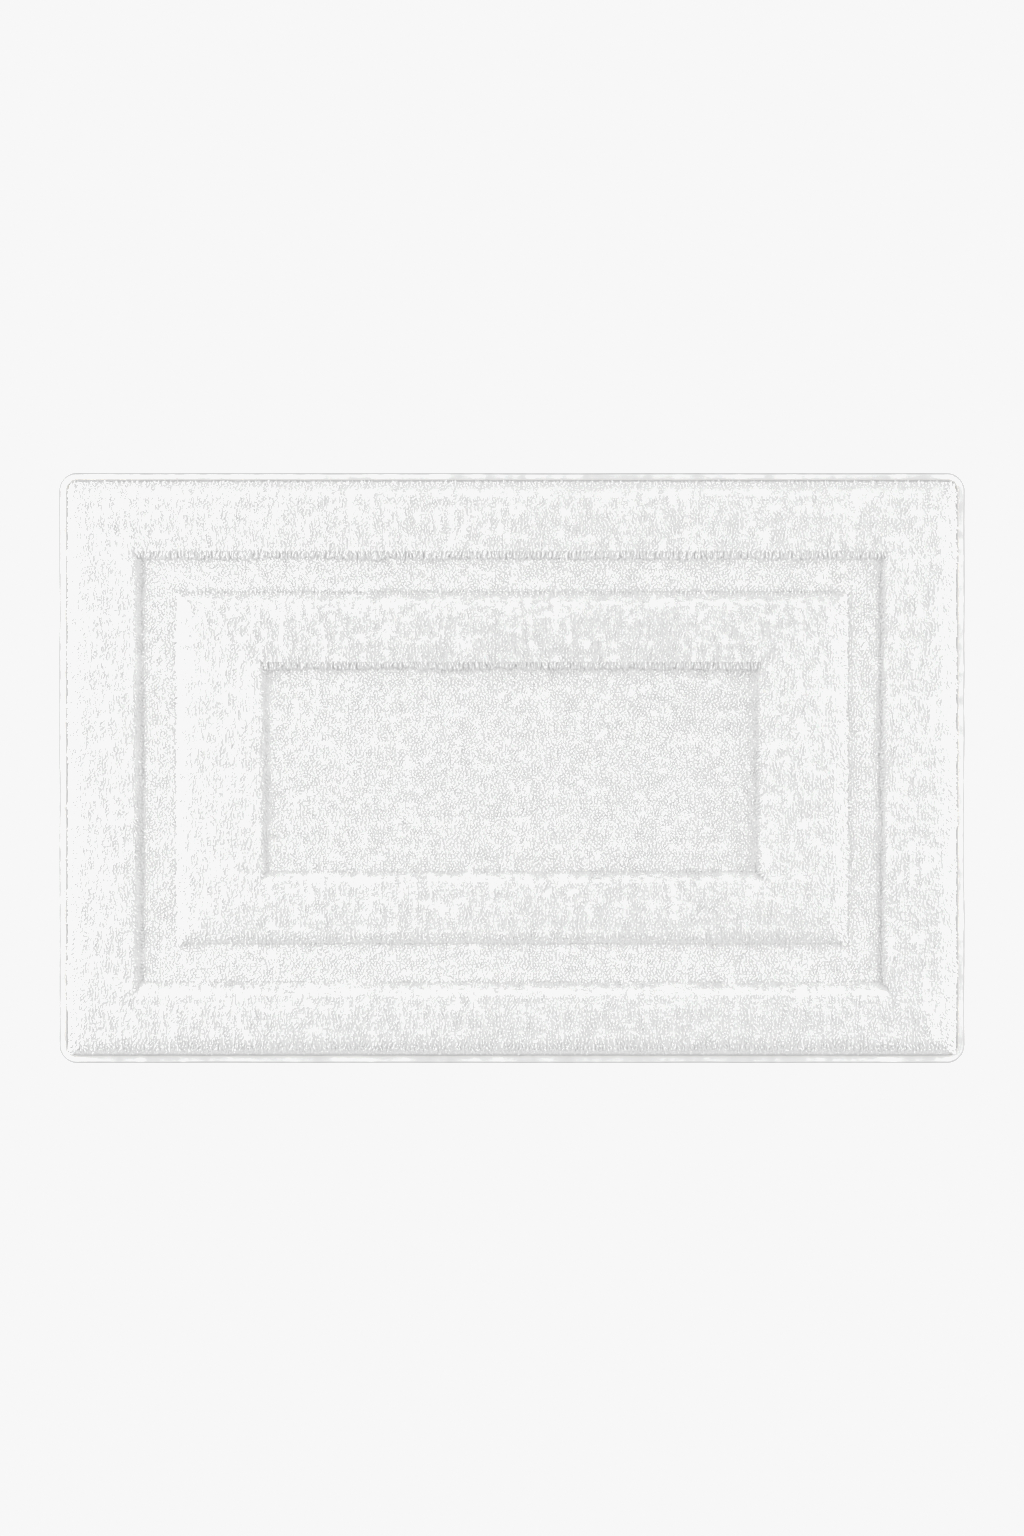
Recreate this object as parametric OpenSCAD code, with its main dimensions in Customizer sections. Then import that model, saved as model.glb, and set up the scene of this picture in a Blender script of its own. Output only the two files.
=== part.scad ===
// Tufted bath mat with two carved pile frames, a bound edge and a non-slip back.
// Millimetres. X runs along the length, Y across the width, Z up from the floor.
// The origin is on the floor, under the middle of the mat.

/* [Mat] */
// Finished length of the mat
mat_l = 905; // [640:5:1300]
// Finished width of the mat
mat_w = 590; // [450:5:900]
// Radius of the four corners of the bound edge
corner_r = 18; // [15:1:40]

/* [Pile frames] */
// Width of the outer pile frame at the two short ends
outer_end_w = 76; // [50:1:95]
// Width of the outer pile frame along the two long sides
outer_side_w = 75; // [50:1:90]
// Width of the carved channel at the two short ends
channel_end_w = 33; // [15:1:45]
// Width of the carved channel along the two long sides
channel_side_w = 36; // [15:1:45]
// Width of the inner pile frame at the two short ends
inner_end_w = 92; // [60:1:110]
// Width of the inner pile frame along the two long sides
inner_side_w = 74; // [60:1:88]
// Radius of the upright corners that the carving leaves
carved_r = 4; // [1:0.5:8]

/* [Pile heights] */
// Height of the two tall pile frames above the tufting cloth
frame_pile_h = 20; // [16:0.5:28]
// Height of the low pile in the carved channel
channel_pile_h = 10; // [5:0.5:12]
// Height of the low pile in the centre panel
centre_pile_h = 11; // [5:0.5:12]
// How far the rounded shoulder on the outside of a tall frame reaches in
shoulder_w = 18; // [8:1:24]
// How far the carved inner edge of a tall frame is cut back at the top
bevel_w = 5; // [1:0.5:10]
// How deep that cut-back edge goes
bevel_h = 6; // [1:0.5:8]

/* [Backing] */
// Thickness of the woven cloth that the tufts are punched through
cloth_t = 1; // [0.6:0.1:2]
// Thickness of the latex that locks the backs of the tufts
lock_coat_t = 0.8; // [0.4:0.1:2]

/* [Edge binding] */
// Thickness of the folded binding tape, and of the non-slip layer level with it
tape_t = 1.2; // [1:0.1:2]
// Width of tape that shows on top, from the edge to the foot of the pile
hem_w = 8; // [6:0.5:10]
// How much further in the tape reaches under the mat than on top
under_extra = 3; // [1:0.5:4]
// Diameter of the sewing thread
thread_d = 0.7; // [0.4:0.1:0.8]
// Distance of the sewn line from the foot of the pile
seam_back = 1.2; // [0.8:0.1:2]

/* [Care label] */
// Length of the blank label, along Y
label_l = 50; // [25:1:80]
// How far the label shows past the binding
label_w = 26; // [15:1:40]
// Thickness of the folded label
label_t = 0.5; // [0.3:0.1:0.7]
// How far the label is caught under the tape
label_caught = 5; // [3:0.5:8]
// Clear space left in the non-slip layer round the label
label_gap = 1; // [0.5:0.5:3]

/* [Hidden] */
$fn = 48;

// Width of tape folded under the mat
under_w = hem_w + under_extra;

// Heights of the layers, from the floor up
coat_z = tape_t;
cloth_z = coat_z + lock_coat_t;
pile_z = cloth_z + cloth_t;
hem_z = pile_z + tape_t;
frame_z = pile_z + frame_pile_h;
channel_z = pile_z + channel_pile_h;

// Plan sizes, each from the edge of the mat inwards: [length, width]
mat_size = [mat_l, mat_w];
core_size = shrink(mat_size, tape_t, tape_t);
pile_size = shrink(mat_size, hem_w, hem_w);
carve_size = shrink(pile_size, outer_end_w, outer_side_w);
inner_size = shrink(carve_size, channel_end_w, channel_side_w);
centre_size = shrink(inner_size, inner_end_w, inner_side_w);
nonslip_size = shrink(mat_size, under_w, under_w);

// The foot of the outer pile keeps a small round corner however wide the hem is
pile_r = max(corner_r - hem_w, carved_r);
// The fold of the tape is half round
fold_r = hem_z / 2;
// The lower thread lies against the roof of a groove, with this much room at each side.
// The groove runs through the tape and the caught end of the label alike, and leaves
// this much of them above it.
thread_room = 0.1;
thread_cover = 0.3;
groove_w = thread_d + 2 * thread_room;
groove_d = tape_t - thread_cover;
// Where the sewn line runs in the profile that round_the_edge() carries
seam_x = corner_r - hem_w + seam_back;
// Slices in a rounded shoulder
shoulder_steps = 6;
// A cut runs this far past the face that it opens
cut_over = 1;
slice_t = 0.01;

function shrink(size, ends, sides) = [size.x - 2 * ends, size.y - 2 * sides];

// A flat layer with round corners, standing on height z
module layer(size, r, z, t) {
    translate([0, 0, z])
        linear_extrude(t)
            rounded_plan(size, r);
}

module rounded_plan(size, r) {
    square([size.x - 2 * r, size.y], center = true);
    square([size.x, size.y - 2 * r], center = true);
    for (sx = [-1, 1], sy = [-1, 1])
        translate([sx * (size.x / 2 - r), sy * (size.y / 2 - r)])
            circle(r);
}

// Carries a flat profile all round the edge of the mat. In the profile, X is the
// distance outwards from the centres of the corner rounds and Y is the height.
module round_the_edge() {
    run_l = mat_l - 2 * corner_r;
    run_w = mat_w - 2 * corner_r;
    for (turn = [0, 180]) {
        rotate(turn)
            translate([run_l / 2, 0, 0])
                side_run(run_w) children();
        rotate(turn + 90)
            translate([run_w / 2, 0, 0])
                side_run(run_l) children();
    }
    for (sx = [-1, 1], sy = [-1, 1])
        translate([sx * run_l / 2, sy * run_w / 2, 0])
            rotate(sx > 0 ? (sy > 0 ? 0 : 270) : (sy > 0 ? 90 : 180))
                rotate_extrude(angle = 90)
                    children();
}

module side_run(run) {
    translate([0, run / 2, 0])
        rotate([90, 0, 0])
            linear_extrude(run)
                children();
}

// A pile block with upright sides up to height z1 and rounded shoulders to z2
module pile_mound(size, r, z0, z1, z2) {
    hull() {
        layer(size, r, z0, z1 - z0);
        for (i = [1 : shoulder_steps]) {
            turn = 90 * i / shoulder_steps;
            inset = shoulder_w * (1 - cos(turn));
            layer(shrink(size, inset, inset), r, z1 + (z2 - z1) * sin(turn) - slice_t, slice_t);
        }
    }
}

// The space that carving leaves inside a tall frame, with a cut-back mouth
module carved_well(size) {
    layer(size, carved_r, pile_z - cut_over, frame_pile_h + 2 * cut_over);
    hull() {
        layer(size, carved_r, frame_z - bevel_h, slice_t);
        layer(shrink(size, -bevel_w, -bevel_w), carved_r, frame_z, cut_over);
    }
}

// The low latex layer that grips the floor, level with the folded-under tape
module nonslip_backing() {
    color("gainsboro")
        difference() {
            layer(nonslip_size, corner_r - under_w, 0, tape_t);
            label_space(label_gap, -cut_over, tape_t + 2 * cut_over);
        }
}

// Room for the label, in plan, from inside the tape inwards
module label_space(gap, z, t) {
    reach = label_caught + label_w + gap;
    translate([nonslip_size.x / 2 + label_caught - reach, -label_l / 2 - gap, z])
        cube([reach, label_l + 2 * gap, t]);
}

// Blank woven label, flat against the latex coat. Its end is caught under the tape,
// and the lower thread presses into it there.
module care_label() {
    color("white")
        difference() {
            label_space(0, coat_z - label_t, label_t);
            round_the_edge() groove_profile();
        }
}

// Latex that locks the backs of the tufts to the cloth
module tuft_lock_coat() {
    color("ivory")
        layer(core_size, corner_r - tape_t, coat_z, lock_coat_t);
}

// Woven cloth that carries every tuft
module tufting_cloth() {
    color("linen")
        layer(core_size, corner_r - tape_t, cloth_z, cloth_t);
}

// Tape folded round the edge of the layers, grooved below for its sewn line
module edge_binding() {
    color("whitesmoke")
        difference() {
            round_the_edge() tape_profile();
            label_space(0, coat_z - label_t, label_t + cut_over);
        }
}

module tape_profile() {
    difference() {
        union() {
            translate([corner_r - under_w, 0])
                square([under_w - fold_r, tape_t]);
            translate([corner_r - hem_w, pile_z])
                square([hem_w - fold_r, tape_t]);
            translate([corner_r - fold_r, fold_r])
                circle(fold_r);
        }
        translate([0, coat_z])
            square([corner_r - tape_t, pile_z - coat_z]);
        groove_profile();
    }
}

module groove_profile() {
    translate([seam_x - groove_w / 2, -cut_over])
        square([groove_w, groove_d + cut_over]);
}

// Upper thread of the lockstitch, lying on the tape at the foot of the pile
module needle_thread() {
    color("snow")
        round_the_edge()
            translate([seam_x, hem_z + thread_d / 2])
                circle(d = thread_d, $fn = 16);
}

// Lower thread of the lockstitch, sunk in the groove under the tape
module bobbin_thread() {
    color("snow")
        round_the_edge()
            translate([seam_x, groove_d - thread_d / 2])
                circle(d = thread_d, $fn = 16);
}

// Tall cut pile round the outside, sloping down to the binding
module outer_frame_pile() {
    color("white")
        difference() {
            pile_mound(pile_size, pile_r, pile_z, hem_z, frame_z);
            carved_well(carve_size);
        }
}

// Low cut pile in the channel between the two frames
module channel_pile() {
    color("gainsboro")
        difference() {
            layer(carve_size, carved_r, pile_z, channel_pile_h);
            layer(inner_size, carved_r, pile_z - cut_over, channel_pile_h + 2 * cut_over);
        }
}

// Tall cut pile round the centre panel
module inner_frame_pile() {
    color("white")
        difference() {
            pile_mound(inner_size, carved_r, pile_z, channel_z, frame_z);
            carved_well(centre_size);
        }
}

// Low cut pile of the centre panel
module centre_pile() {
    color("gainsboro")
        layer(centre_size, carved_r, pile_z, centre_pile_h);
}

nonslip_backing();
care_label();
tuft_lock_coat();
tufting_cloth();
edge_binding();
needle_thread();
bobbin_thread();
outer_frame_pile();
channel_pile();
inner_frame_pile();
centre_pile();
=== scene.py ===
"""A tufted bath mat: tall and low cut pile, a bound edge and a dotted latex back.

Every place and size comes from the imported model. The pile is grown tuft by tuft: each
tuft is a short bent strand whose tip lies on the mat's sheared and carved surface.
"""
import math
from collections import namedtuple

import bpy
import numpy as np
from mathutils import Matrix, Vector


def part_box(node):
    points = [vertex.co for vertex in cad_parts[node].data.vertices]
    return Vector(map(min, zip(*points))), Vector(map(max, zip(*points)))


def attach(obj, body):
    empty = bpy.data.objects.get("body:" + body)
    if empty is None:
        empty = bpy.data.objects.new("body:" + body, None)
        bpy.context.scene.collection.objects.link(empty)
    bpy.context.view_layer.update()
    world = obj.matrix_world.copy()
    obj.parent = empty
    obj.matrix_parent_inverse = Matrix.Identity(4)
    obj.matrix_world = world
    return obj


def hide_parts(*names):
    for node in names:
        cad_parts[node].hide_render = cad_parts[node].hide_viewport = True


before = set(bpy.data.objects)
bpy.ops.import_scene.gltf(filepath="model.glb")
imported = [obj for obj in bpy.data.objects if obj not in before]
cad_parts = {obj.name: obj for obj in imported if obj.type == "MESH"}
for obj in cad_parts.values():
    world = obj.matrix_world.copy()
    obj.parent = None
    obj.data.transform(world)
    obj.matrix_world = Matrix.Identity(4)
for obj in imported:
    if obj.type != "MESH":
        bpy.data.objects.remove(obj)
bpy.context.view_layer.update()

MM = 0.001


# ---------------------------------------------------------------- sizes from the model

def half_plan(node):
    """Half the length and half the width of a piece of the model, in metres."""
    low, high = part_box(node)
    return np.array([(high.x - low.x) / 2, (high.y - low.y) / 2])


EDGE = half_plan("edge_binding")
CORE = half_plan("tufting_cloth")
FOOT = half_plan("outer_frame_pile")
CARVE = half_plan("channel_pile")
INNER = half_plan("inner_frame_pile")
CENTRE = half_plan("centre_pile")
FILM = half_plan("nonslip_backing")
NEEDLE = half_plan("needle_thread")
BOBBIN = half_plan("bobbin_thread")

TAPE_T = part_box("nonslip_backing")[1].z
COAT_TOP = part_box("tuft_lock_coat")[1].z
CLOTH_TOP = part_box("tufting_cloth")[1].z
HEM_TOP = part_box("edge_binding")[1].z
TALL_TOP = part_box("outer_frame_pile")[1].z
CHANNEL_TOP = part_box("channel_pile")[1].z
CENTRE_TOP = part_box("centre_pile")[1].z
BOBBIN_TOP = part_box("bobbin_thread")[1].z
THREAD_D = BOBBIN_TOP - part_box("bobbin_thread")[0].z


# ---------------------------------------------------------------- the maker's settings

def by_side(back, front, right, left, unit=1.0):
    """A value for each side of the mat, as it was sheared, carved and combed there."""
    return {"back": back * unit, "front": front * unit,
            "right": right * unit, "left": left * unit}


# The mat's four sides, and the way out from its middle at each
OUTWARD = {"back": (0, 1), "front": (0, -1), "right": (1, 0), "left": (-1, 0)}

# Round corners in plan: of the mat's edge, of the outer pile's foot, and of the carving
EDGE_CORNER_R = 18 * MM
FOOT_CORNER_R = 10 * MM
CARVED_CORNER_R = 4 * MM
LEAST_CORNER_R = 1 * MM
# A corner's rounding tightens by this much for each millimetre in from the edge
CORNER_TIGHTENS = 0.4

# What shearing and carving leave: a rounded shoulder outside each tall frame, a faint
# crown, a rounded rim inside it, and a cut groove where the rim meets the low pile. The
# inner frame's rim is cut narrower by that share, and a rim falls away as that power
OUTER_SHOULDER_W = 19 * MM
INNER_SHOULDER_W = by_side(22, 14, 14, 14, MM)
CROWN_H = 0.6 * MM
RIM_W = by_side(4, 14, 6, 11, MM)
INNER_RIM_SHARE = 0.8
RIM_BEND = 1.7
GROOVE_W = 6 * MM
GROOVE_D = by_side(0.3, 0, 1.2, 1.2, MM)
# Low pile runs on this far under the tall pile beside it, so that no gap shows
UNDERCUT = 3 * MM

# The yarn, as cut tufts. Real ones stand about 2 mm apart: they're drawn coarser, one
# body for each, to keep each mesh a handy size
TUFT_PITCH = 2.9 * MM
# Rows are staggered, so they lie closer together than the tufts in a row
ROW_SHARE = 0.87
TUFT_JITTER = 0.33
TUFT_R = 1.3 * MM
TUFT_SIDES = 4
# Along a tuft, from root to tip: its rings' places, girths and depths in the pile
# The depths also set painted shade, with the yarn drawn greyer towards the root
TUFT_PLACES = np.array([0.0, 0.5, 0.86, 1.0])
TUFT_GIRTHS = np.array([0.75, 1.05, 0.8])
TUFT_DEPTHS = [1.0, 0.45, 0.08]
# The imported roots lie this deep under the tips, and this far back from a steep side
ROOT_DEPTH = 3.4 * MM
ROOT_SETBACK = 1.2 * MM
# The root mass is painted greyer still: painted shade between the tufts
ROOT_PAINTED_SHADE = 0.94

# How each height of pile is cut: the free length of a tuft, how far combing lays it
# over, and how strongly it gathers into locks
Cut = namedtuple("Cut", "reach comb size")
TALL_CUT = Cut(reach=9 * MM, comb=5 * MM, size=1.0)
LOW_CUT = Cut(reach=6.5 * MM, comb=2.2 * MM, size=0.5)
# The nap parts into long locks, and these into narrow wisps: width and length
LOCK = (7 * MM, 26 * MM)
WISP = (3.8 * MM, 13 * MM)

# How far the nap still lies over at the carved rim and at the foot of a tall frame: the
# carver's scissors lift it most where it lies away from the cut
LAID_AT_RIM = by_side(1.0, 0.0, 0.7, 0.7)
LAID_AT_FOOT = by_side(0.0, 0.2, 0.7, 0.7)
LIFTED_REACH = 12 * MM
# How far the tufts hang over the cut there, and spread over the hem at the foot
RIM_HANG = by_side(2.4, 0.6, 1.2, 1.2, MM)
FOOT_SPREAD = by_side(1.2, -1.6, 1.2, 1.2, MM)
HANG_REACH = 12 * MM
SPREAD_REACH = 14 * MM

# Painted light and shade on the tall pile: carved rims painted greyer, the back rim lighter, and
# shoulders painted lighter
RIM_PAINTED_LIGHT = by_side(1.08, 0.965, 0.97, 0.955)
SHOULDER_PAINTED_LIGHT = by_side(1.08, 1.04, 1.08, 1.10)
SHOULDER_REACH = by_side(7, 14, 24, 24, MM)
# Painted light on low pile beside the back and front walls, painted shade beside the right wall
LOW_WALL_PAINTED_LIGHT = by_side(1.03, 1.02, 0.985, 1.0)
LOW_WALL_REACH = 9 * MM
# Painted shade over the centre panel, drawn a shade greyer
CENTRE_PAINTED_SHADE = 0.975
# Painted light and shade over whole sides: the inner frame greyer at the back and front and
# lighter at the right and left, and the left channel greyer
INNER_PAINTED_LIGHT = by_side(0.967, 0.992, 1.005, 1.015)
CHANNEL_PAINTED_SHADE = by_side(1.0, 1.0, 1.0, 0.98)

# The sewn line that holds the binding: the way from one needle hole to the next, and
# the share of it that a stitch reaches to either side of its middle
STITCH = 3.6 * MM
STITCH_REACH = 0.46

# The grip dots moulded on the film, how far they stay inside its edges, and the clear
# space that the film leaves round the label
DOT_PITCH = 10 * MM
DOT_R = 2.2 * MM
DOT_SIDES = 8
FIRST_DOT = 5 * MM
DOT_MARGIN = 3 * MM
LABEL_GAP = 1 * MM


# ---------------------------------------------------------------- small helpers

def drift(x, y, across, along, seed):
    """Smooth seeded noise from -1 to 1, with bumps of about across by along metres."""
    table = np.random.default_rng(seed).uniform(-1, 1, (256, 256))
    u, v = x / across + 97.3, y / along + 61.7
    i, j = np.floor(u).astype(int), np.floor(v).astype(int)
    fu, fv = u - i, v - j
    fu, fv = fu * fu * (3 - 2 * fu), fv * fv * (3 - 2 * fv)

    def corner(a, b):
        return table[(i + a) % 256, (j + b) % 256]

    low = corner(0, 0) * (1 - fu) + corner(1, 0) * fu
    high = corner(0, 1) * (1 - fu) + corner(1, 1) * fu
    return low * (1 - fv) + high * fv


def to_lock(x, y, across, along, seed):
    """The way to the middle of the nearest lock of tufts, how close each place is to the
    parting between two locks, from 0 to 1, and a number for the lock."""
    table = np.random.default_rng(seed).uniform(-0.45, 0.45, (3, 256, 256))
    i, j = np.floor(x / across).astype(int), np.floor(y / along).astype(int)
    best, second = np.full(x.shape, np.inf), np.full(x.shape, np.inf)
    way = np.zeros(x.shape + (2,))
    mark = np.zeros(x.shape)
    for a in (-1, 0, 1):
        for b in (-1, 0, 1):
            p, q = (i + a) % 256, (j + b) % 256
            dx = (i + a + 0.5 + table[0, p, q]) * across - x
            dy = (j + b + 0.5 + table[1, p, q]) * along - y
            far = np.hypot(dx / across, dy / along)
            near = far < best
            second = np.where(near, best, np.minimum(second, far))
            best = np.where(near, far, best)
            way[near] = np.stack([dx, dy], -1)[near]
            mark = np.where(near, table[2, p, q] * 2, mark)
    return way, ease(second - best, 0.45), mark


def ease(value, end):
    """1 at 0, falling smoothly to 0 at end."""
    share = np.clip(value / end, 0, 1)
    return 1 - share * share * (3 - 2 * share)


def ring_faces(rings, count, closed=False):
    """The wall faces between rings of count points each. Closed joins last to first."""
    total = rings if closed else rings + 1
    return [[r * count + k, r * count + (k + 1) % count,
             (r + 1) % total * count + (k + 1) % count, (r + 1) % total * count + k]
            for r in range(rings) for k in range(count)]


BOX_FACES = [[0, 1, 3, 2], [4, 6, 7, 5], [0, 4, 5, 1], [2, 3, 7, 6], [0, 2, 6, 4], [1, 5, 7, 3]]


def box_points(low, high):
    """The eight corners of a box, in the order that BOX_FACES takes them."""
    return [[(low, high)[a][0], (low, high)[b][1], (low, high)[c][2]]
            for a in (0, 1) for b in (0, 1) for c in (0, 1)]


def skin(name, points, faces):
    """A mesh of those points and faces."""
    made = bpy.data.meshes.new(name)
    made.from_pydata(np.reshape(points, (-1, 3)).tolist(), [], faces)
    return made


def stand(name, data):
    """Puts a mesh, lamp or camera in the scene."""
    made = bpy.data.objects.new(name, data)
    bpy.context.scene.collection.objects.link(made)
    return made


class Strands:
    """Collects points and faces, with a tone and a depth in the pile for each point.
    The tone carries painted light and shade as well as a tuft's own tone; the depth sets painted
    shade.
    """

    def __init__(self):
        self.points, self.faces, self.tones, self.depths = [], [], [], []
        self.soft = []
        self.count = 0

    def add(self, points, faces, tone=1.0, depth=0.0, soft=True):
        points = np.asarray(points, float).reshape(-1, 3)
        self.points.append(points)
        self.faces += [[v + self.count for v in f] for f in faces]
        self.soft += [soft] * len(faces)
        self.tones.append(np.broadcast_to(tone, len(points)))
        self.depths.append(np.broadcast_to(depth, len(points)))
        self.count += len(points)

    def add_copies(self, points, faces, tone=1.0, depth=0.0):
        """Adds many small bodies of the same build: points is copies x points x 3."""
        copies, per = points.shape[:2]
        step = (np.arange(copies) * per)[:, None]
        every = [f for face in faces for f in (np.array(face) + step).tolist()]
        self.add(points, every, tone, depth)

    def mesh(self, name):
        points = np.concatenate(self.points)
        made = skin(name, points, self.faces)
        for label, values in (("tuft_tone_and_painted_light", self.tones), ("painted_shade_depth", self.depths)):
            layer = made.attributes.new(label, "FLOAT", "POINT")
            layer.data.foreach_set("value", np.concatenate(values).astype(np.float32))
        made.polygons.foreach_set("use_smooth", self.soft)
        lay_flat_map(made, points)
        return made


def lay_flat_map(mesh, points):
    """Maps the mesh as seen from above, so that its colours can be carried to a picture."""
    low, high = points[:, :2].min(0), points[:, :2].max(0)
    corners = np.empty(len(mesh.loops), dtype=np.int32)
    mesh.loops.foreach_get("vertex_index", corners)
    plan = (points[corners, :2] - low) / (high - low)
    layer = mesh.uv_layers.new(name="OFBake")
    layer.data.foreach_set("uv", plan.astype(np.float32).ravel())


def piece(mesh, material, slot, *nodes):
    """Puts a mesh in the scene as a piece of the mat, standing for those model nodes."""
    made = stand(mesh.name, mesh)
    mesh.materials.append(material)
    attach(made, "root")
    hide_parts(*nodes)
    return made


# ---------------------------------------------------------------- finishes

def srgb(code):
    """A hex colour such as "#F4F3EF" as linear red, green, blue and 1."""
    parts = [int(code[i:i + 2], 16) / 255 for i in (1, 3, 5)]
    return [p / 12.92 if p <= 0.04045 else ((p + 0.055) / 1.055) ** 2.4 for p in parts] + [1]


def add(tree, kind, inputs=(), **settings):
    """Adds a node with its settings, and sets or links its inputs."""
    node = tree.nodes.new(kind)
    for key, value in settings.items():
        setattr(node, key, value)
    for key, value in dict(inputs).items():
        if isinstance(value, bpy.types.NodeSocket):
            tree.links.new(value, node.inputs[key])
        else:
            node.inputs[key].default_value = value
    return node


def finish_tree(name, roughness, sheen=0.0, sheen_roughness=0.5, specular=0.5, ior=1.5):
    """A new finish with its shader's plain values set. Returns it, its tree and shader."""
    made = bpy.data.materials.new(name)
    made.use_nodes = True
    tree = made.node_tree
    shader = tree.nodes["Principled BSDF"]
    shader.inputs["Roughness"].default_value = roughness
    shader.inputs["Sheen Weight"].default_value = sheen
    shader.inputs["Sheen Roughness"].default_value = sheen_roughness
    shader.inputs["Specular IOR Level"].default_value = specular
    shader.inputs["IOR"].default_value = ior
    return made, tree, shader


def combed_cotton_pile(name, tip, root):
    """Combed cotton yarn, cut and sheared. The cut ends scatter light into a soft white
    with no gloss. The colour turns greyer towards the root: painted shade in the pile."""
    made, tree, shader = finish_tree(name, roughness=0.95, sheen=0.15, specular=0.1)
    tone = add(tree, "ShaderNodeAttribute", attribute_name="tuft_tone_and_painted_light")
    depth = add(tree, "ShaderNodeAttribute", attribute_name="painted_shade_depth")
    place = add(tree, "ShaderNodeTexCoord")
    cloud = add(tree, "ShaderNodeTexNoise", {
        "Vector": place.outputs["Object"], "Scale": 1 / (5 * MM), "Detail": 1.0})
    yarn = add(tree, "ShaderNodeMix", {
        "Factor": depth.outputs["Fac"], "A": srgb(tip), "B": srgb(root)}, data_type="RGBA")
    # Bleached and washed cotton differs by 2% or so from tuft to tuft
    shade = add(tree, "ShaderNodeMapRange", {
        "Value": cloud.outputs["Fac"], "To Min": 0.975, "To Max": 1.025})
    mixed = add(tree, "ShaderNodeMath", {
        0: shade.outputs["Result"], 1: tone.outputs["Fac"]}, operation="MULTIPLY")
    lit = add(tree, "ShaderNodeVectorMath", {
        0: yarn.outputs["Result"], "Scale": mixed.outputs["Value"]}, operation="SCALE")
    tree.links.new(lit.outputs["Vector"], shader.inputs["Base Color"])
    return made


def woven(name, light, dark, thread_w, roughness, depth, sheen=0.1, painted_shade_below=None):
    """Plain-woven yarn. Each crossing stands up a little, so the face has a fine square
    grain, lighter on the crossings and darker between the threads. Where it's folded,
    below that height, it is painted down to half its colour: painted shade on the fold."""
    made, tree, shader = finish_tree(name, roughness, sheen, specular=0.3)
    place = add(tree, "ShaderNodeTexCoord")
    ways = [add(tree, "ShaderNodeTexWave", {
        "Vector": place.outputs["Object"], "Scale": math.pi / 10 / thread_w,
        "Distortion": 0.4, "Detail": 1.0}, bands_direction=direction).outputs["Fac"]
        for direction in ("X", "Y")]
    grain = add(tree, "ShaderNodeMath", {0: ways[0], 1: ways[1]}, operation="MULTIPLY")
    cloud = add(tree, "ShaderNodeTexNoise", {
        "Vector": place.outputs["Object"], "Scale": 1 / (25 * MM), "Detail": 2.0})
    spread = add(tree, "ShaderNodeMath", {
        0: grain.outputs["Value"], 1: 0.7, 2: cloud.outputs["Fac"]},
        operation="MULTIPLY_ADD", use_clamp=True)
    colour = add(tree, "ShaderNodeMix", {
        "Factor": spread.outputs["Value"], "A": srgb(dark), "B": srgb(light)},
        data_type="RGBA")
    face = colour.outputs["Result"]
    # Painted shade on the fold, from the hem's top downward
    if painted_shade_below:
        parts = add(tree, "ShaderNodeSeparateXYZ", {"Vector": place.outputs["Object"]})
        painted_fold_shade = add(tree, "ShaderNodeMapRange", {
            "Value": parts.outputs["Z"], "From Min": painted_shade_below - 1 * MM,
            "From Max": painted_shade_below, "To Min": 0.5, "To Max": 1.0})
        face = add(tree, "ShaderNodeVectorMath", {
            0: face, "Scale": painted_fold_shade.outputs["Result"]},
            operation="SCALE").outputs["Vector"]
    tree.links.new(face, shader.inputs["Base Color"])
    bump = add(tree, "ShaderNodeBump", {
        "Height": grain.outputs["Value"], "Strength": 0.5, "Distance": depth})
    tree.links.new(bump.outputs["Normal"], shader.inputs["Normal"])
    return made


def latex(name, light, dark, roughness, grain):
    """Foamed latex, spread wet and cured. It dries satin, a little mottled and pitted.
    Its real pits are well under a millimetre: they're drawn as coarse as they need to
    show, at that grain."""
    made, tree, shader = finish_tree(name, roughness, specular=0.5, ior=1.52)
    place = add(tree, "ShaderNodeTexCoord")
    pits = add(tree, "ShaderNodeTexNoise", {
        "Vector": place.outputs["Object"], "Scale": 1 / grain, "Detail": 4.0})
    cloud = add(tree, "ShaderNodeTexNoise", {
        "Vector": place.outputs["Object"], "Scale": 1 / (40 * MM), "Detail": 2.0})
    colour = add(tree, "ShaderNodeMix", {
        "Factor": cloud.outputs["Fac"], "A": srgb(dark), "B": srgb(light)}, data_type="RGBA")
    tree.links.new(colour.outputs["Result"], shader.inputs["Base Color"])
    bump = add(tree, "ShaderNodeBump", {
        "Height": pits.outputs["Fac"], "Strength": 0.4, "Distance": 0.15 * MM})
    tree.links.new(bump.outputs["Normal"], shader.inputs["Normal"])
    return made


def twisted_thread():
    """Polyester sewing thread, three plies twisted together, with a slight silk gloss."""
    made, tree, shader = finish_tree("polyester_thread", 0.55, sheen=0.2, specular=0.4)
    place = add(tree, "ShaderNodeTexCoord")
    # A ply crosses the thread every 0.6 mm, drawn on the slant
    plies = add(tree, "ShaderNodeTexWave", {
        "Vector": place.outputs["Object"], "Scale": math.pi / 10 / (0.6 * MM)},
        bands_direction="DIAGONAL")
    colour = add(tree, "ShaderNodeMix", {
        "Factor": plies.outputs["Fac"], "A": srgb("#DCDAD5"), "B": srgb("#F6F5F2")},
        data_type="RGBA")
    tree.links.new(colour.outputs["Result"], shader.inputs["Base Color"])
    return made


# ---------------------------------------------------------------- the pile's surface

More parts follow.
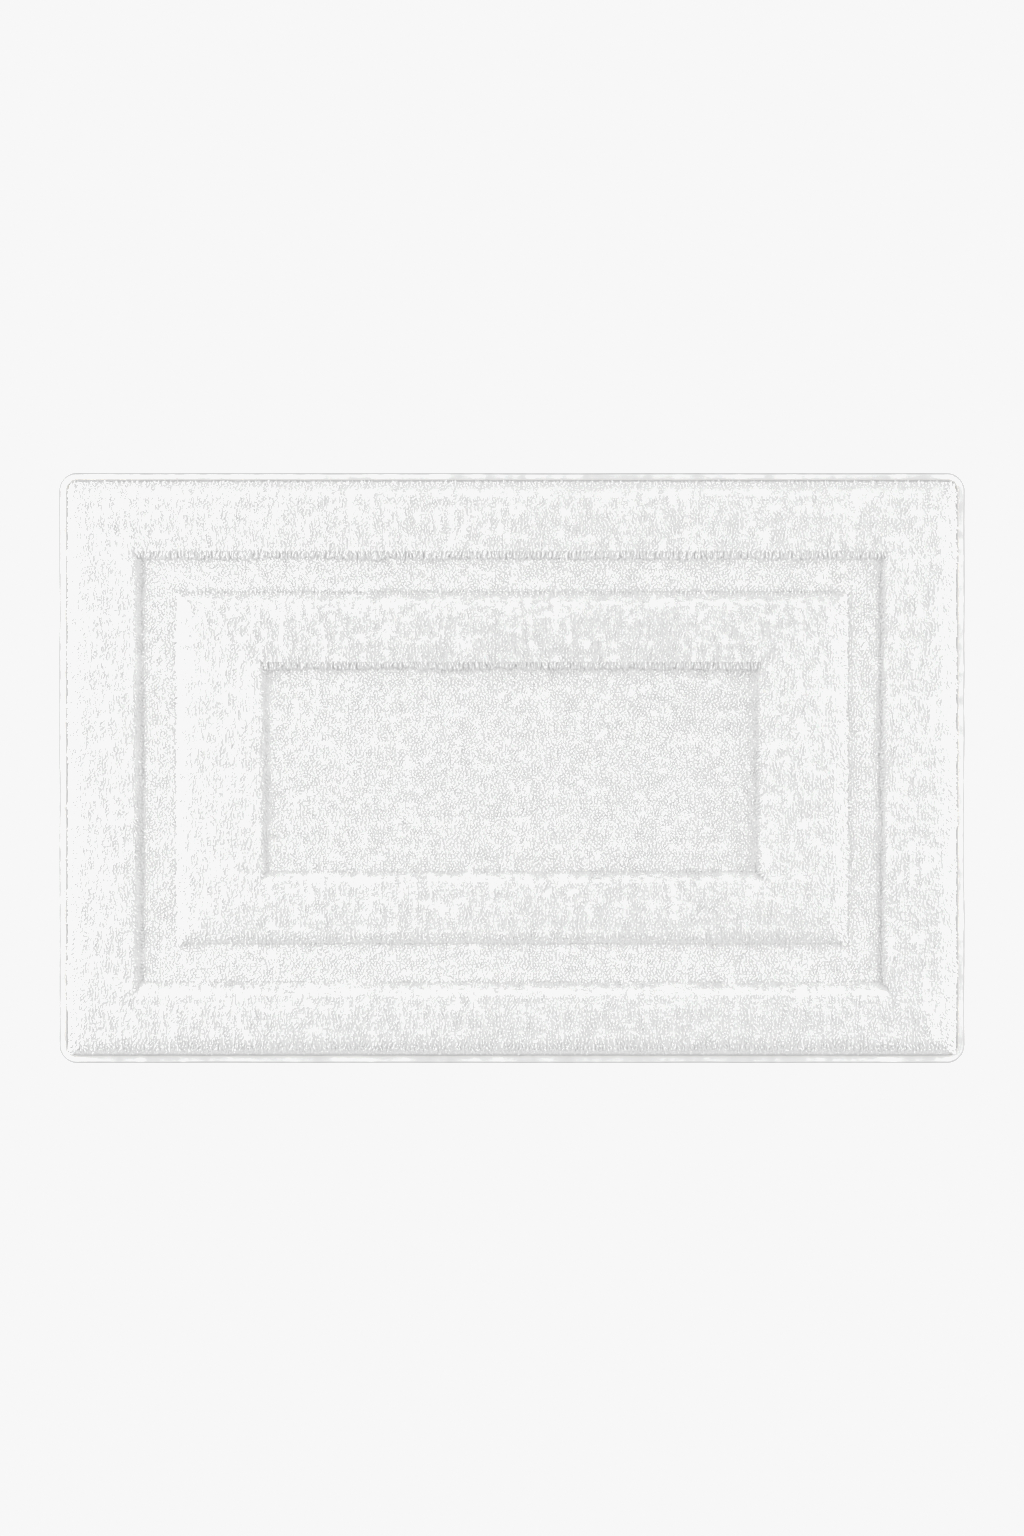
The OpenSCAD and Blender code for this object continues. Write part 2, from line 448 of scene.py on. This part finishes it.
def frame_section(width, foot, top, groove, shoulder_w, rim_w):
    """The top of a tall frame: its shoulder, a faint crown, then its rim into the groove.
    Points are distance in from the outer edge, and height."""
    turn = np.radians(np.linspace(0, 90, 17))
    rise = [shoulder_w * (1 - np.cos(turn)), foot + (top - foot) * np.sin(turn)]
    crown_w = width - shoulder_w - rim_w
    flat = np.linspace(0, crown_w, 12)[1:-1]
    crown = [shoulder_w + flat, top + CROWN_H * np.sin(np.pi * flat / crown_w)]
    share = np.linspace(0, 1, 15)
    fall = [width - rim_w * (1 - share), top - (top - groove) * share ** RIM_BEND]
    return np.concatenate([rise, crown, fall], 1).T


def low_section(width, top, groove_d):
    """The top of a low zone: up out of the groove, then flat, and on a little under the
    tall pile at both sides."""
    inset = np.linspace(-UNDERCUT, width + UNDERCUT, 40)
    return np.stack([inset, groove_floor(inset, top, groove_d)], 1)


def groove_floor(inset, top, groove_d):
    """The height of low pile at that distance in from a carved wall."""
    return top - groove_d * (1 - np.clip(inset / GROOVE_W, 0, 1)) ** 2


class Surface:
    """A section's line, walked by distance along it."""

    def __init__(self, section):
        ways = np.diff(section, axis=0)
        lengths = np.linalg.norm(ways, axis=1)
        self.section = section
        self.marks = np.concatenate([[0], np.cumsum(lengths)])
        self.length = self.marks[-1]
        upward = np.stack([-ways[:, 1], ways[:, 0]], 1) / lengths[:, None]
        self.upward = np.concatenate([upward[:1], (upward[1:] + upward[:-1]) / 2, upward[-1:]])

    def at(self, walked):
        """Distance in, height and the normal's two parts, at those distances walked."""
        inset, height = (np.interp(walked, self.marks, self.section[:, k]) for k in (0, 1))
        normal = np.stack([np.interp(walked, self.marks, self.upward[:, k]) for k in (0, 1)], 1)
        return inset, height, normal / np.linalg.norm(normal, axis=1)[:, None]


class Side:
    """One side of a ring of pile, mitred to its neighbours at both ends."""

    def __init__(self, name, outer, inner, corner_r):
        self.out = np.array(OUTWARD[name], float)
        self.run = np.array([self.out[1], -self.out[0]])
        across, lengthways = (1, 0) if self.out[0] == 0 else (0, 1)
        self.out_half, self.width = outer[across], outer[across] - inner[across]
        self.long_half, self.short_half = outer[lengthways], inner[lengthways]
        self.outer, self.corner_r = outer, corner_r

    def half_length(self, inset):
        """Half the side's length, mitred, at that distance in."""
        return self.long_half + (self.short_half - self.long_half) * inset / self.width

    def plan(self, run, inset):
        """Where a point lies in plan, from its place along the side and its distance in.
        Corners are drawn in to their rounding."""
        flat = run[:, None] * self.run + (self.out_half - inset)[:, None] * self.out
        bound = self.outer - inset[:, None]
        radius = np.maximum(self.corner_r - inset * CORNER_TIGHTENS, LEAST_CORNER_R)[:, None]
        past = np.maximum(np.abs(flat) - (bound - radius), 0)
        both = (past > 0).all(1)[:, None]
        length = np.linalg.norm(past, axis=1)[:, None]
        drawn = past * past.max(1)[:, None] / np.maximum(length, 1e-12)
        return np.where(both, np.sign(flat) * (bound - radius + drawn), flat)

    def settle(self, plan, height, surface):
        """Lowers the points by a mitre to the neighbour's surface, where that is lower."""
        from_edge = (self.outer - np.abs(plan)).min(1)
        return np.minimum(height, np.interp(from_edge, *surface.section.T))


# ---------------------------------------------------------------- tufts

def tuft_sites(long_half, depth_to, rng):
    """Staggered, jittered places for tufts: along a side, and walked over its section."""
    rows = np.arange(TUFT_PITCH / 2, depth_to, TUFT_PITCH * ROW_SHARE)
    columns = np.arange(-long_half, long_half, TUFT_PITCH)
    run, walked = np.meshgrid(columns, rows)
    run[1::2] += TUFT_PITCH / 2
    jitter = rng.uniform(-TUFT_JITTER, TUFT_JITTER, (2,) + run.shape) * TUFT_PITCH
    return (run + jitter[0]).ravel(), (walked + jitter[1]).ravel()


def nap(x, y, cut, laid, rng):
    """How far each tuft's tip lies over in plan, and how far it stands out. The nap is
    combed to the front, wanders a little, and gathers into long locks with partings."""
    # Locks sway by up to 2 mm along their length
    swing = 2 * MM * drift(x, y, 16 * MM, 30 * MM, 11)
    locks, parting, mark = to_lock(x + swing, y, *LOCK, 5)
    wisps, split, _ = to_lock(x + swing, y, *WISP, 15)
    wander = 0.1 * drift(x, y, 28 * MM, 45 * MM, 7) + 0.4 * drift(x, y, 7 * MM, 14 * MM, 8)
    comb = cut.comb * (1 + 0.15 * drift(x, y, 7 * MM, 16 * MM, 9))
    lean = np.stack([np.sin(wander), -np.cos(wander)], 1) * (comb * laid)[:, None]
    # Tips gather across towards the middle of their lock far more than along it
    gather = (0.7 + 0.15 * drift(x, y, 12 * MM, 20 * MM, 6)) * cut.size
    lean += locks * gather[:, None] * [0.35, 0.03] + wisps * [0.25, 0.05]
    # No two tips lie quite alike
    lean += rng.normal(0, 0.5 * MM, (len(x), 2))
    # A lock stands as one, and the tips sink where two of them part
    lift = (0.2 * MM * mark * cut.size - 1.5 * MM * parting * gather
            - 0.8 * MM * split * cut.size)
    return lean, lift + rng.normal(0, 0.4 * MM, len(x))


def tuft_build():
    """The faces of one tuft: two rings of walls, a pointed tip and a closed base."""
    n = TUFT_SIDES
    tip = [[2 * n + k, 2 * n + (k + 1) % n, 3 * n] for k in range(n)]
    return ring_faces(2, n) + tip + [list(range(n))[::-1]]


def grow(strands, tips, normals, push, cut, laid, tone, rng):
    """Grows a tuft at each tip. A tuft leaves its root along the surface's normal, then
    lies over with the nap."""
    count = len(tips)
    lean, lift = nap(tips[:, 0], tips[:, 1], cut, laid, rng)
    lean = lean + push
    heads = tips + normals * lift[:, None]
    roots = tips - normals * cut.reach
    roots[:, 2] = np.maximum(roots[:, 2], CLOTH_TOP)
    sway = np.column_stack([lean, -0.5 * (lean ** 2).sum(1) / cut.reach])
    sway -= normals * (sway * normals).sum(1)[:, None] * 0.6

    thick = TUFT_R * rng.uniform(0.8, 1.15, count)
    line = roots[:, None] + (heads - roots)[:, None] * TUFT_PLACES[:, None]
    line = line + sway[:, None] * TUFT_PLACES[:, None] ** 2
    axis = line[:, -1] - line[:, 0]
    axis /= np.linalg.norm(axis, axis=1)[:, None]
    helper = np.where(np.abs(axis[:, :1]) < 0.8, [[1.0, 0, 0]], [[0, 1.0, 0]])
    first = np.cross(axis, helper)
    first /= np.linalg.norm(first, axis=1)[:, None]
    second = np.cross(axis, first)
    around = 2 * math.pi * np.arange(TUFT_SIDES) / TUFT_SIDES
    around = around + rng.uniform(0, math.pi, count)[:, None]
    ring = np.cos(around)[..., None] * first[:, None] + np.sin(around)[..., None] * second[:, None]
    rings = line[:, :3, None] + ring[:, None] * (thick[:, None] * TUFT_GIRTHS)[:, :, None, None]
    points = np.concatenate([rings.reshape(count, -1, 3), line[:, 3:]], 1)

    per = points.shape[1]
    # Each tuft's own random tone, times the painted light and shade passed in
    own = tone * (0.975 + 0.025 * rng.uniform(-1, 1, count))
    depth = np.append(np.repeat(TUFT_DEPTHS, TUFT_SIDES), 0)
    strands.add_copies(points, tuft_build(), np.repeat(own, per), np.tile(depth, count))


def root_mass(strands, side, surface, share_from, share_to):
    """The closed body of packed roots that the tufts of one side stand in. Its steps over
    the section and along the side are fine enough to keep its facets out of sight."""
    walked = np.linspace(0, surface.length, 80)
    inset, height, normal = surface.at(walked)
    first, last = inset[0], inset[-1]
    inset = np.clip(inset - normal[:, 0] * ROOT_SETBACK, first, last)
    height = np.maximum(height - ROOT_DEPTH, CLOTH_TOP + 1 * MM)
    inset = np.concatenate([[first], inset, [last]])
    height = np.concatenate([[CLOTH_TOP], height, [CLOTH_TOP]])
    count, steps = len(inset), 50
    rows = [np.column_stack([side.plan(share * side.half_length(inset), inset), height])
            for share in np.linspace(share_from, share_to, steps)]
    faces = [wall[:1] + wall[:0:-1] for wall in ring_faces(steps - 1, count)]
    faces += [list(range(count)), [(steps - 1) * count + k for k in range(count)][::-1]]
    strands.add(np.concatenate(rows), faces, ROOT_PAINTED_SHADE, 1.0, soft=False)


def blend(at_edge, distance, reach):
    """That value at an edge, passing smoothly to 1 over that reach."""
    return 1 + (at_edge - 1) * ease(distance, reach)


def pile_side(name, side_name, outer, inner, section, cut, seed, corner_r, part=(-1, 1),
              shade=1.0):
    """One side of a ring of pile: its root mass and every tuft on it. Part says how much
    of its length is made, from -1 at one end to 1 at the other. Shade is painted light
    and shade over the whole side."""
    rng = np.random.default_rng(seed)
    side = Side(side_name, outer, inner, corner_r)
    surface = Surface(section)
    run, walked = tuft_sites(side.long_half, surface.length, rng)
    inset, height, normal = surface.at(walked)
    share = run / (side.half_length(inset) + 0.25 * TUFT_PITCH)
    keep = (share > part[0]) & (share < part[1])
    run, inset, height, normal = run[keep], inset[keep], height[keep], normal[keep]
    plan = side.plan(run, inset)
    height = side.settle(plan, height, surface)
    from_rim = side.width - inset
    push = np.zeros(plan.shape)
    laid = np.ones(len(plan))
    # Painted light and shade on low pile beside a carved wall
    tone = blend(LOW_WALL_PAINTED_LIGHT[side_name], inset, LOW_WALL_REACH)
    if cut is TALL_CUT:
        # The rim is cut by hand, so it wanders, and its tufts hang a little over the cut
        wander = 0.9 * MM * drift(run, run * 0, 26 * MM, 1, seed + 40)
        wander += 0.7 * MM * drift(run, run * 0, 7 * MM, 1, seed + 41)
        plan = plan - side.out * (wander * ease(from_rim, 16 * MM))[:, None]
        hang = (RIM_HANG[side_name] * ease(from_rim, HANG_REACH)
                - FOOT_SPREAD[side_name] * ease(inset, SPREAD_REACH))
        push = side.out * -hang[:, None]
        laid = (blend(LAID_AT_RIM[side_name], from_rim, LIFTED_REACH)
                * blend(LAID_AT_FOOT[side_name], inset, LIFTED_REACH))
        # Painted light and shade on the carved rim, and painted light on the shoulder
        tone = (blend(RIM_PAINTED_LIGHT[side_name], from_rim, RIM_W[side_name])
                * blend(SHOULDER_PAINTED_LIGHT[side_name], inset, SHOULDER_REACH[side_name]))
    # Tufts stand steeper than the slope they were sheared to
    upright = normal * [0.55, 1] + [0, 0.25]
    upright /= np.linalg.norm(upright, axis=1)[:, None]
    tips = np.column_stack([plan, height])
    normals = np.column_stack([-upright[:, :1] * side.out, upright[:, 1]])
    strands = Strands()
    root_mass(strands, side, surface, *part)
    grow(strands, tips, normals, push, cut, laid, tone * shade, rng)
    return strands.mesh(name)


def centre_half(name, sign, seed):
    """Half of the low centre panel, with the groove round it."""
    rng = np.random.default_rng(seed)
    reach = CENTRE + UNDERCUT
    run, down = tuft_sites(reach[0], 2 * reach[1], rng)
    plan = np.column_stack([run, down - reach[1]])
    plan = plan[(np.abs(plan) < reach).all(1)]
    plan = plan[sign * plan[:, 0] > 0]
    from_wall = CENTRE - np.abs(plan)
    ends = groove_floor(from_wall[:, 0], CENTRE_TOP, GROOVE_D["right"])
    sides = groove_floor(from_wall[:, 1], CENTRE_TOP, GROOVE_D["back"])
    tips = np.column_stack([plan, np.minimum(ends, sides)])
    strands = Strands()
    low = (min(0, sign * reach[0]), -reach[1], CLOTH_TOP)
    high = (max(0, sign * reach[0]), reach[1], CENTRE_TOP - ROOT_DEPTH)
    strands.add(box_points(low, high), BOX_FACES, ROOT_PAINTED_SHADE, 1.0, soft=False)
    upright = np.tile([0, 0, 1.0], (len(tips), 1))
    # The centre's tufts take its painted shade
    grow(strands, tips, upright, 0, LOW_CUT, 1.0, CENTRE_PAINTED_SHADE, rng)
    return strands.mesh(name)


def lay_pile():
    """All the pile, side by side round the mat, and the centre in two halves."""
    # The same cotton in two copies: the low pile painted lighter, against the shade it lies in,
    # and the tall pile painted greyer, against the light on its top
    tall = combed_cotton_pile("cut_cotton_tall_painted_shade", "#F3F3F3", "#ECECEC")
    low = combed_cotton_pile("cut_cotton_low_painted_light", "#FBFBFB", "#F3F3F3")
    for number, name in enumerate(OUTWARD):
        width = Side(name, FOOT, CARVE, 0).width
        section = frame_section(width, HEM_TOP, TALL_TOP, CHANNEL_TOP - GROOVE_D[name],
                                OUTER_SHOULDER_W, RIM_W[name])
        # The two long sides are built in two lengths, to keep each mesh a handy size
        lengths = {"": (-1, 1)} if name in ("left", "right") else {"_a": (-1, 0), "_b": (0, 1)}
        for end, part in lengths.items():
            mesh = pile_side("outer_frame_pile_" + name + end, name, FOOT, CARVE, section,
                             TALL_CUT, 100 + number, FOOT_CORNER_R, part)
            piece(mesh, tall, "tall_pile", "outer_frame_pile")

        width = Side(name, CARVE, INNER, 0).width
        mesh = pile_side("channel_pile_" + name, name, CARVE, INNER,
                         low_section(width, CHANNEL_TOP, GROOVE_D[name]), LOW_CUT,
                         200 + number, 0, shade=CHANNEL_PAINTED_SHADE[name])
        piece(mesh, low, "low_pile", "channel_pile")

        width = Side(name, INNER, CENTRE, 0).width
        section = frame_section(width, CHANNEL_TOP, TALL_TOP, CENTRE_TOP - GROOVE_D[name],
                                INNER_SHOULDER_W[name], INNER_RIM_SHARE * RIM_W[name])
        mesh = pile_side("inner_frame_pile_" + name, name, INNER, CENTRE, section, TALL_CUT,
                         300 + number, CARVED_CORNER_R, shade=INNER_PAINTED_LIGHT[name])
        piece(mesh, tall, "tall_pile", "inner_frame_pile")

    for number, (half, sign) in enumerate((("left", -1), ("right", 1))):
        mesh = centre_half("centre_pile_" + half, sign, 400 + number)
        piece(mesh, low, "low_pile", "centre_pile")


# ---------------------------------------------------------------- bound edge

def edge_walk(half, corner_r, step):
    """Points and outward directions round a rounded rectangle, about a step apart."""
    straight = 2 * (half - corner_r)
    bend = corner_r * math.pi / 2
    total = 2 * straight.sum() + 4 * bend
    count = int(total / step)
    walked = np.arange(count) * total / count
    place, outward = np.zeros((count, 2)), np.zeros((count, 2))
    start = 0.0
    for turns in range(4):
        angle = turns * math.pi / 2
        out = np.array([math.cos(angle), math.sin(angle)])
        run = np.array([-out[1], out[0]])
        side = straight[(turns + 1) % 2]
        reach = half[turns % 2]
        on = (walked >= start) & (walked < start + side)
        place[on] = out * reach + run * (walked[on] - start - side / 2)[:, None]
        outward[on] = out
        start += side
        on = (walked >= start) & (walked < start + bend)
        turn = (walked[on] - start) / corner_r
        way = np.cos(turn)[:, None] * out + np.sin(turn)[:, None] * run
        place[on] = out * (reach - corner_r) + run * (side / 2) + way * corner_r
        outward[on] = way
        start += bend
    return place, outward, walked


def fold_profile(under_w, hem_w):
    """The folded tape in section: distance in from the mat's edge, and height. It runs
    from the underside round the fold to the top, and back inside."""
    fold_r = HEM_TOP / 2
    inner_r = fold_r - TAPE_T
    turn = np.radians(np.linspace(-90, 90, 13))
    soft = np.stack([fold_r * (1 - np.cos(turn)), fold_r * (1 + np.sin(turn))], 1)
    inside = np.stack([fold_r - inner_r * np.cos(turn), fold_r + inner_r * np.sin(turn)], 1)
    top = [[fold_r + (hem_w - fold_r) * k, HEM_TOP] for k in (0.25, 0.5, 0.75)]
    top += [[hem_w - 0.3 * MM, HEM_TOP - 0.1 * MM], [hem_w, HEM_TOP - TAPE_T / 2],
            [hem_w - 0.2 * MM, HEM_TOP - TAPE_T]]
    # The lower thread draws the tape up into a groove of its own
    seam = (EDGE - BOBBIN)[0] + THREAD_D / 2
    roof, mouth, floor = BOBBIN_TOP, 0.75 * THREAD_D, 0.6 * THREAD_D
    under = [[under_w - 0.2 * MM, TAPE_T], [under_w, TAPE_T / 2],
             [under_w - 0.3 * MM, 0.1 * MM], [under_w - 0.8 * MM, 0.0],
             [seam + mouth + 0.2 * MM, 0.0], [seam + mouth, 0.1 * MM],
             [seam + floor, roof], [seam - floor, roof],
             [seam - mouth, 0.1 * MM], [seam - mouth - 0.2 * MM, 0.0]]
    return np.concatenate([soft, top, inside[::-1], under])


def bound_edge():
    """The binding tape, folded round the edge of the layers. Sewing draws it in a little
    at each stitch, so its face is uneven and its edge isn't quite straight."""
    place, outward, walked = edge_walk(EDGE, EDGE_CORNER_R, 2.4 * MM)
    under_w = EDGE[0] - FILM[0]
    hem_w = EDGE[0] - FOOT[0]
    profile = fold_profile(under_w, hem_w)
    count, steps = len(profile), len(place)
    drawn = 0.5 * MM * np.abs(drift(walked, walked * 0, 60 * MM, 1, 31))
    puff = 0.12 * MM * drift(walked, walked * 0, 7 * MM, 1, 32)
    inward = profile[:, 0] + drawn[:, None] * ease(profile[:, 0], hem_w)
    rings = np.empty((steps, count, 3))
    rings[..., :2] = place[:, None] - outward[:, None] * inward[..., None]
    rings[..., 2] = profile[:, 1] + puff[:, None] * (profile[:, 1] > HEM_TOP / 2)
    mesh = skin("edge_binding_tape", rings, ring_faces(steps, count, closed=True))
    mesh.shade_smooth()
    # Tape of this kind has about 12 threads to the centimetre
    tape = woven("cotton_tape", "#EFEFEF", "#CDCDCD", 0.85 * MM, 0.85, 0.25 * MM,
                 painted_shade_below=HEM_TOP)
    made = piece(mesh, tape, "binding_tape", "edge_binding")


def sewn_line():
    """The lockstitch that holds the binding: one row on the hem, one in the groove."""
    thread = twisted_thread()
    piece(stitches("needle_thread_row", NEEDLE, HEM_TOP + THREAD_D * 0.55),
          thread, "sewing_thread", "needle_thread")
    piece(stitches("bobbin_thread_row", BOBBIN, BOBBIN_TOP - THREAD_D / 2),
          thread, "sewing_thread", "bobbin_thread")


def stitches(name, half, z):
    """A row of stitches: each dips to the needle hole at both ends."""
    line = half - THREAD_D / 2
    corner_r = EDGE_CORNER_R - (EDGE - line)[0]
    place, outward, _ = edge_walk(line, corner_r, STITCH)
    run = np.column_stack([-outward[:, 1], outward[:, 0]])
    share = np.linspace(-1, 1, 6)
    middle = np.empty((len(place), 6, 3))
    middle[..., :2] = place[:, None] + run[:, None] * (share * STITCH * STITCH_REACH)[:, None]
    middle[..., 2] = z - 0.12 * THREAD_D * share ** 2
    n = 6
    turn = 2 * math.pi * np.arange(n) / n
    girth = (THREAD_D / 2) * np.array([0.7, 0.92, 1, 1, 0.92, 0.7])
    points = np.repeat(middle[:, :, None], n, axis=2)
    points[..., :2] += (np.cos(turn) * girth[:, None])[..., None] * outward[:, None, None]
    points[..., 2] += np.sin(turn) * girth[:, None] * 0.88
    faces = ring_faces(5, n) + [list(range(n))[::-1], [5 * n + k for k in range(n)]]
    strands = Strands()
    strands.add_copies(points.reshape(len(place), -1, 3), faces)
    return strands.mesh(name)


# ---------------------------------------------------------------- layers and back

def slab(name, half, corner_r, low, high, swell, seed):
    """A thin layer with round corners, its two faces a little uneven."""
    rim, _, _ = edge_walk(half, corner_r, 12 * MM)
    rings, n = 24, len(rim)
    plan = np.concatenate([rim * (1 - k / rings) for k in range(rings)] + [np.zeros((1, 2))])
    wave = np.abs(swell * drift(plan[:, 0], plan[:, 1], 9 * MM, 9 * MM, seed))
    count = len(plan)
    top = np.column_stack([plan, high - wave])
    under = np.column_stack([plan, low + wave])
    faces = []
    for i in range(n):
        j = (i + 1) % n
        for k in range(rings - 1):
            a, b, c, d = k * n + i, k * n + j, (k + 1) * n + j, (k + 1) * n + i
            faces += [[a, b, c, d], [count + d, count + c, count + b, count + a]]
        last = (rings - 1) * n
        faces += [[last + i, last + j, count - 1],
                  [count + last + j, count + last + i, 2 * count - 1],
                  [j, i, count + i, count + j]]
    return skin(name, np.concatenate([top, under]), faces)


def layers():
    """The woven cloth and the latex that locks the tufts to it."""
    corner_r = EDGE_CORNER_R - TAPE_T
    cloth = woven("tufting_cotton", "#EFEBDF", "#C9C2AF", 1.1 * MM, 0.9, 0.3 * MM)
    mesh = slab("tufting_cloth_sheet", CORE, corner_r, COAT_TOP, CLOTH_TOP, 0.03 * MM, 51)
    made = piece(mesh, cloth, "woven_cloth", "tufting_cloth")
    coat = latex("lock_latex", "#F1EDE0", "#DDD7C5", 0.6, 2 * MM)
    mesh = slab("tuft_lock_coat_layer", CORE, corner_r, TAPE_T, COAT_TOP, 0.12 * MM, 52)
    piece(mesh, coat, "lock_latex", "tuft_lock_coat")


def grip_film():
    """The latex film under the mat, with rows of moulded dots that grip the floor."""
    rubber = latex("grip_latex", "#F3F2EE", "#E3E1DB", 0.5, 1.2 * MM)
    low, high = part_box("care_label")
    strands = Strands()
    base = 0.5 * TAPE_T
    # The film, in three strips, leaves a bay for the label
    bay_x, bay_y = low.x - LABEL_GAP, high.y + LABEL_GAP
    for x0, x1, y0, y1 in ((-FILM[0], bay_x, -FILM[1], FILM[1]),
                           (bay_x, FILM[0], bay_y, FILM[1]),
                           (bay_x, FILM[0], -FILM[1], -bay_y)):
        strands.add(box_points((x0, y0, base), (x1, y1, TAPE_T)), BOX_FACES, soft=False)
    n = DOT_SIDES
    xs = np.arange(-FILM[0] + FIRST_DOT, FILM[0] - DOT_MARGIN, DOT_PITCH)
    ys = np.arange(-FILM[1] + FIRST_DOT, FILM[1] - DOT_MARGIN, DOT_PITCH * ROW_SHARE)
    x, y = np.meshgrid(xs, ys)
    x[1::2] += DOT_PITCH / 2
    x, y = x.ravel(), y.ravel()
    in_bay = (x > bay_x - DOT_MARGIN) & (np.abs(y) < bay_y + DOT_MARGIN)
    on_film = (np.abs(x) < FILM[0] - DOT_MARGIN) & ~in_bay
    x, y = x[on_film], y[on_film]
    turn = 2 * math.pi * np.arange(n) / n
    points = np.zeros((len(x), 2 * n + 1, 3))
    for ring, (girth, z) in enumerate(((1.0, base + 0.05 * MM), (0.75, base * 0.3))):
        on = slice(ring * n, ring * n + n)
        points[:, on, 0] = x[:, None] + DOT_R * girth * np.cos(turn)
        points[:, on, 1] = y[:, None] + DOT_R * girth * np.sin(turn)
        points[:, on, 2] = z
    points[:, -1, 0], points[:, -1, 1] = x, y
    faces = [[k, n + k, n + (k + 1) % n, (k + 1) % n] for k in range(n)]
    faces += [[n + k, 2 * n, n + (k + 1) % n] for k in range(n)] + [list(range(n))]
    strands.add_copies(points, faces)
    piece(strands.mesh("nonslip_film"), rubber, "nonslip_latex", "nonslip_backing")


def blank_label():
    """A blank woven label: one strip of satin ribbon folded back on itself."""
    low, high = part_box("care_label")
    half = (high.z - low.z) / 2
    mid = (low.z + high.z) / 2
    reach = high.x - low.x
    turn = np.radians(np.linspace(90, 270, 7))
    shares = np.linspace(0, 1, 12)[:-1]

    def hairpin(bend):
        line = [[high.x - s * (reach - half), mid + bend] for s in shares]
        line += [[low.x + half + bend * math.cos(t), mid + bend * math.sin(t)] for t in turn]
        return line + [[high.x - s * (reach - half), mid - bend] for s in shares[::-1]]

    ring = np.array(hairpin(half) + hairpin(half * 0.4)[::-1])
    count, columns = len(ring), 21
    points = np.concatenate([np.column_stack([ring[:, 0], np.full(count, y), ring[:, 1]])
                             for y in np.linspace(low.y, high.y, columns)])
    faces = ring_faces(columns - 1, count)
    for start, way in ((0, 1), ((columns - 1) * count, -1)):
        faces += [[start + k, start + count - 1 - k,
                   start + count - 2 - k, start + k + 1][::way]
                  for k in range(count // 2 - 1)]
    mesh = skin("care_label_ribbon", points, faces)
    mesh.shade_smooth()
    # Its real threads are about 0.2 mm, drawn at 0.5 mm so that they show
    satin = woven("label_ribbon", "#FCFCFC", "#EDEDED", 0.5 * MM, 0.4, 0.05 * MM, sheen=0.3)
    made = piece(mesh, satin, "label_satin", "care_label")


# ---------------------------------------------------------------- studio

FLOOR_GLOW = 0.88
AIR_LIGHT = 0.87
CAMERA_HEIGHT = 6.0
SENSOR_W = 36
# Half of the view's long side, at the floor
HALF_VIEW = 0.768
PAPER_WHITE = srgb("#F7F7F7")[0]
# Tones as lit and as printed, from the darkest to the paper
PRINTED = ((0, 0.25), (0.50, 0.55), (0.76, 0.76), (0.80, 0.80), (0.835, PAPER_WHITE),
           (1, PAPER_WHITE))


def studio_floor():
    """A pale floor that glows softly, as a light table does."""
    bpy.ops.mesh.primitive_plane_add(size=8)
    floor = bpy.context.object
    floor.name = "studio_floor"
    made, tree, shader = finish_tree("light_table", roughness=0.9)
    shader.inputs["Base Color"].default_value = srgb("#505050")
    shader.inputs["Emission Color"].default_value = srgb("#FFFFFF")
    shader.inputs["Emission Strength"].default_value = FLOOR_GLOW
    floor.data.materials.append(made)


def soft_box(name, place, aim, size, power):
    """A lamp with a wide cloth front, turned to that point. Power is in watts."""
    light = bpy.data.lights.new(name, "AREA")
    light.shape = "RECTANGLE"
    light.size, light.size_y = size
    light.energy = power
    made = stand(name, light)
    made.location = place
    made.rotation_euler = (Vector(aim) - Vector(place)).to_track_quat("-Z", "Y").to_euler()


def fill_with_light():
    """Even white light from the air all round."""
    air = bpy.data.worlds.new("studio_air")
    bpy.context.scene.world = air
    air.use_nodes = True
    air.node_tree.nodes["Background"].inputs["Color"].default_value = srgb("#FFFFFF")
    air.node_tree.nodes["Background"].inputs["Strength"].default_value = AIR_LIGHT


def camera_above():
    """Straight above the middle of the mat, far enough off for a nearly flat view."""
    lens = bpy.data.cameras.new("camera")
    made = stand("camera", lens)
    made.location = (0, 0, CAMERA_HEIGHT)
    lens.sensor_width = SENSOR_W
    lens.lens = SENSOR_W / 2 / (HALF_VIEW / CAMERA_HEIGHT)
    bpy.context.scene.camera = made


def print_in_high_key():
    """Prints the picture as white goods are shown: shadows are lifted, and all that is
    nearly white goes to the paper's own white."""
    view = bpy.context.scene.view_settings
    view.view_transform = "Standard"
    view.use_curve_mapping = True
    view.curve_mapping.extend = "HORIZONTAL"
    curve = view.curve_mapping.curves[3]
    curve.points[0].location = PRINTED[0]
    curve.points[1].location = PRINTED[-1]
    for level, shown in PRINTED[1:-1]:
        curve.points.new(level, shown)
    for point in curve.points:
        point.handle_type = "VECTOR"
    view.curve_mapping.update()


# ---------------------------------------------------------------- the mat in its studio

lay_pile()
layers()
bound_edge()
sewn_line()
grip_film()
blank_label()

studio_floor()
soft_box("left_box", (-1.25, 0.1, 0.85), (-0.2, 0, 0), (0.5, 1.2), 5.4)
soft_box("right_box", (1.2, 0.0, 0.45), (0.2, 0, 0), (0.4, 1.2), 3.2)
soft_box("top_box", (0, 0.15, 2.6), (0, 0, 0), (2.0, 1.4), 8.6)
camera_above()
print_in_high_key()
fill_with_light()
